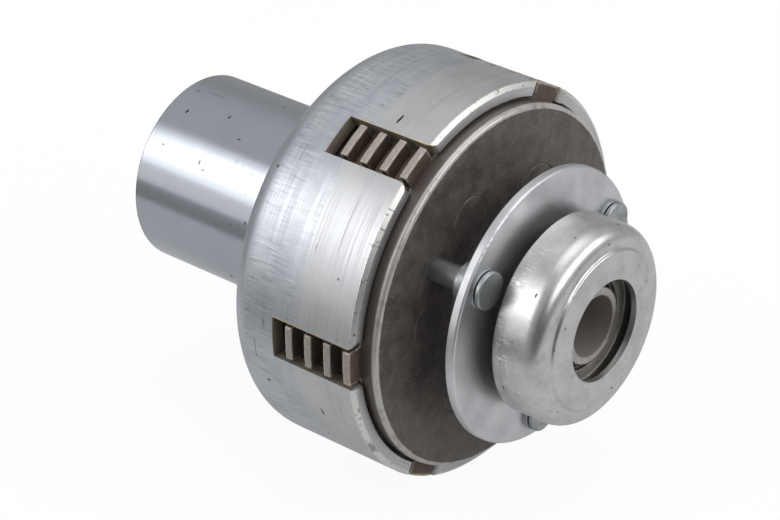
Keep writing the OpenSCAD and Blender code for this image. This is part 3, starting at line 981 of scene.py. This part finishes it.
@dataclass
class Studio:
    """Pale card under the clutch, soft lamps in a grey room and the camera at the photograph's angle."""

    azimuth: float = 39.70
    elevation: float = 29.92
    distance: float = 0.6853
    aim: tuple[float, float, float] = (0.0634, 0.0, -0.0048)
    lens: float = 128.18
    sensor: float = 36.0
    nearest: float = 0.01
    card_low: tuple[float, float] = (-0.13, -0.115)
    card_high: tuple[float, float] = (0.9, 0.8)
    card_paint: str = "#BABABA"
    card_glow: float = 1.1
    card_seen: float = 0.85
    card_mirrored: float = 0.3
    room_mirrored: float = 0.12
    room_low: str = "#787878"
    room_side: str = "#959595"
    side_levels: tuple[float, float] = (-0.4, 0.05)
    room_top: str = "#BFBFBF"
    top_levels: tuple[float, float] = (0.3, 0.8)
    room_dark: str = "#0C0C0C"
    dark_way: tuple[float, float] = (52.0, 5.0)
    dark_levels: tuple[float, float] = (0.68, 0.92)
    backdrop: str = "#FFFFFF"
    lamps: tuple[SoftBox, ...] = (
        SoftBox("key_core", -38.0, 32.0, 0.9, 0.42, 0.34, 0.9),
        SoftBox("key_box", -37.0, 31.0, 0.9, 0.58, 0.58, 0.7),
        SoftBox("low_box", -36.0, 12.0, 1.0, 0.8, 0.6, 0.45),
        SoftBox("side_box", 102.0, 35.0, 1.0, 1.5, 0.45, 1.6),
        SoftBox("top_box", 180.0, 80.0, 1.2, 1.0, 1.0, 0.75),
    )

    def direction(self, azimuth: float, elevation: float) -> Vector:
        """Unit vector from the object towards a place in the studio."""
        a, e = math.radians(azimuth), math.radians(elevation)
        return Vector((math.sin(a) * math.cos(e), -math.cos(a) * math.cos(e), math.sin(e)))

    def camera(self) -> None:
        """Sets the camera where the photograph was taken from."""
        data = bpy.data.cameras.new("camera")
        data.lens = self.lens
        data.sensor_width = self.sensor
        data.clip_start = self.nearest
        camera = bpy.data.objects.new("camera", data)
        back = self.direction(self.azimuth, self.elevation)
        camera.location = Vector(self.aim) + back * self.distance
        camera.rotation_euler = (-back).to_track_quat("-Z", "Y").to_euler()
        bpy.context.scene.collection.objects.link(camera)
        bpy.context.scene.camera = camera

    def shown(self, tree: Tree, seen: float, mirrored: float) -> Socket:
        """Share of plain white that the camera, and polished metal, see in a surface of the studio.

        Args:
            tree: the surface's tree.
            seen: share for the camera.
            mirrored: share for mirrors and glass.

        Returns:
            The share for each ray.
        """
        ray = add(tree, "ShaderNodeLightPath").outputs
        bounced = {0: ray["Is Glossy Ray"], 1: ray["Is Transmission Ray"]}
        mirror = add(tree, "ShaderNodeMath", bounced, operation="ADD").outputs[0]
        share = {0: ray["Is Camera Ray"], 1: seen, 2: Sums(tree).times(mirror, mirrored)}
        return add(tree, "ShaderNodeMath", share, operation="MULTIPLY_ADD").outputs[0]

    def floor(self, height: float) -> None:
        """Lays a pale card under the drum that shows white and keeps a faint shadow.

        Args:
            height: height of the card in metres.
        """
        mesh = bpy.data.meshes.new("floor")
        (x0, y0), (x1, y1) = self.card_low, self.card_high
        corners = [(x, y, height) for x, y in ((x0, y0), (x1, y0), (x1, y1), (x0, y1))]
        mesh.from_pydata(corners, [], [(0, 1, 2, 3)])
        floor = bpy.data.objects.new("floor", mesh)
        material = bpy.data.materials.new("pale_card")
        material.use_nodes = True
        tree = material.node_tree
        tree.nodes.clear()
        paint = add(tree, "ShaderNodeBsdfDiffuse", {"Color": linear(self.card_paint)}).outputs[0]
        glow = add(tree, "ShaderNodeEmission", {"Strength": self.card_glow}).outputs[0]
        share = self.shown(tree, self.card_seen, self.card_mirrored)
        mixed = add(tree, "ShaderNodeMixShader", {0: share, 1: paint, 2: glow}).outputs[0]
        add(tree, "ShaderNodeOutputMaterial", {"Surface": mixed})
        mesh.materials.append(material)
        bpy.context.scene.collection.objects.link(floor)
        floor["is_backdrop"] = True

    def hang(self, box: SoftBox) -> None:
        """Hangs a soft box.

        Args:
            box: the lamp's place, size and radiance.
        """
        data = bpy.data.lights.new(box.name, "AREA")
        data.shape = "RECTANGLE"
        data.size = box.width
        data.size_y = box.height
        data.energy = box.power
        lamp = bpy.data.objects.new(box.name, data)
        towards = self.direction(box.azimuth, box.elevation)
        lamp.location = Vector(self.aim) + towards * box.reach
        lamp.rotation_euler = towards.to_track_quat("Z", "Y").to_euler()
        bpy.context.scene.collection.objects.link(lamp)

    def world(self) -> None:
        """Fills the room with soft grey that is darker towards the ground and on the side of dark_way."""
        world = bpy.data.worlds.new("studio")
        bpy.context.scene.world = world
        world.use_nodes = True
        tree = world.node_tree
        tree.nodes.clear()
        sums = Sums(tree)
        way = add(tree, "ShaderNodeTexCoord").outputs["Generated"]
        height = add(tree, "ShaderNodeSeparateXYZ", {0: way}).outputs["Z"]
        sides = {0: way, 1: self.direction(*self.dark_way)}
        facing = add(tree, "ShaderNodeVectorMath", sides, operation="DOT_PRODUCT").outputs["Value"]
        grey = sums.tint(sums.ramp(height, *self.side_levels), self.room_low, self.room_side)
        grey = sums.tint(sums.ramp(height, *self.top_levels), grey, self.room_top)
        grey = sums.tint(sums.ramp(facing, *self.dark_levels), grey, self.room_dark)
        room = add(tree, "ShaderNodeBackground", {"Color": grey}).outputs[0]
        white = add(tree, "ShaderNodeBackground", {"Color": linear(self.backdrop)}).outputs[0]
        share = self.shown(tree, 1.0, self.room_mirrored)
        mixed = add(tree, "ShaderNodeMixShader", {0: share, 1: room, 2: white}).outputs[0]
        add(tree, "ShaderNodeOutputWorld", {"Surface": mixed})

    def build(self, lowest: float) -> None:
        """Builds the whole studio.

        Args:
            lowest: height of the object's lowest point in metres.
        """
        bpy.context.scene.view_settings.view_transform = "Standard"
        self.camera()
        self.floor(lowest)
        self.world()
        for box in self.lamps:
            self.hang(box)


def main() -> None:
    """Builds the studio on the object's lowest point, and builds and dresses the sub-assemblies."""
    logging.basicConfig(level=logging.INFO)
    low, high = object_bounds()
    made: dict = {}
    Studio().build(low.z)
    for assembly in (OuterMember(), DrivenMember(), ReleaseGear()):
        assembly.build(made)
        assembly.dress(made)


if __name__ == "__main__":
    main()
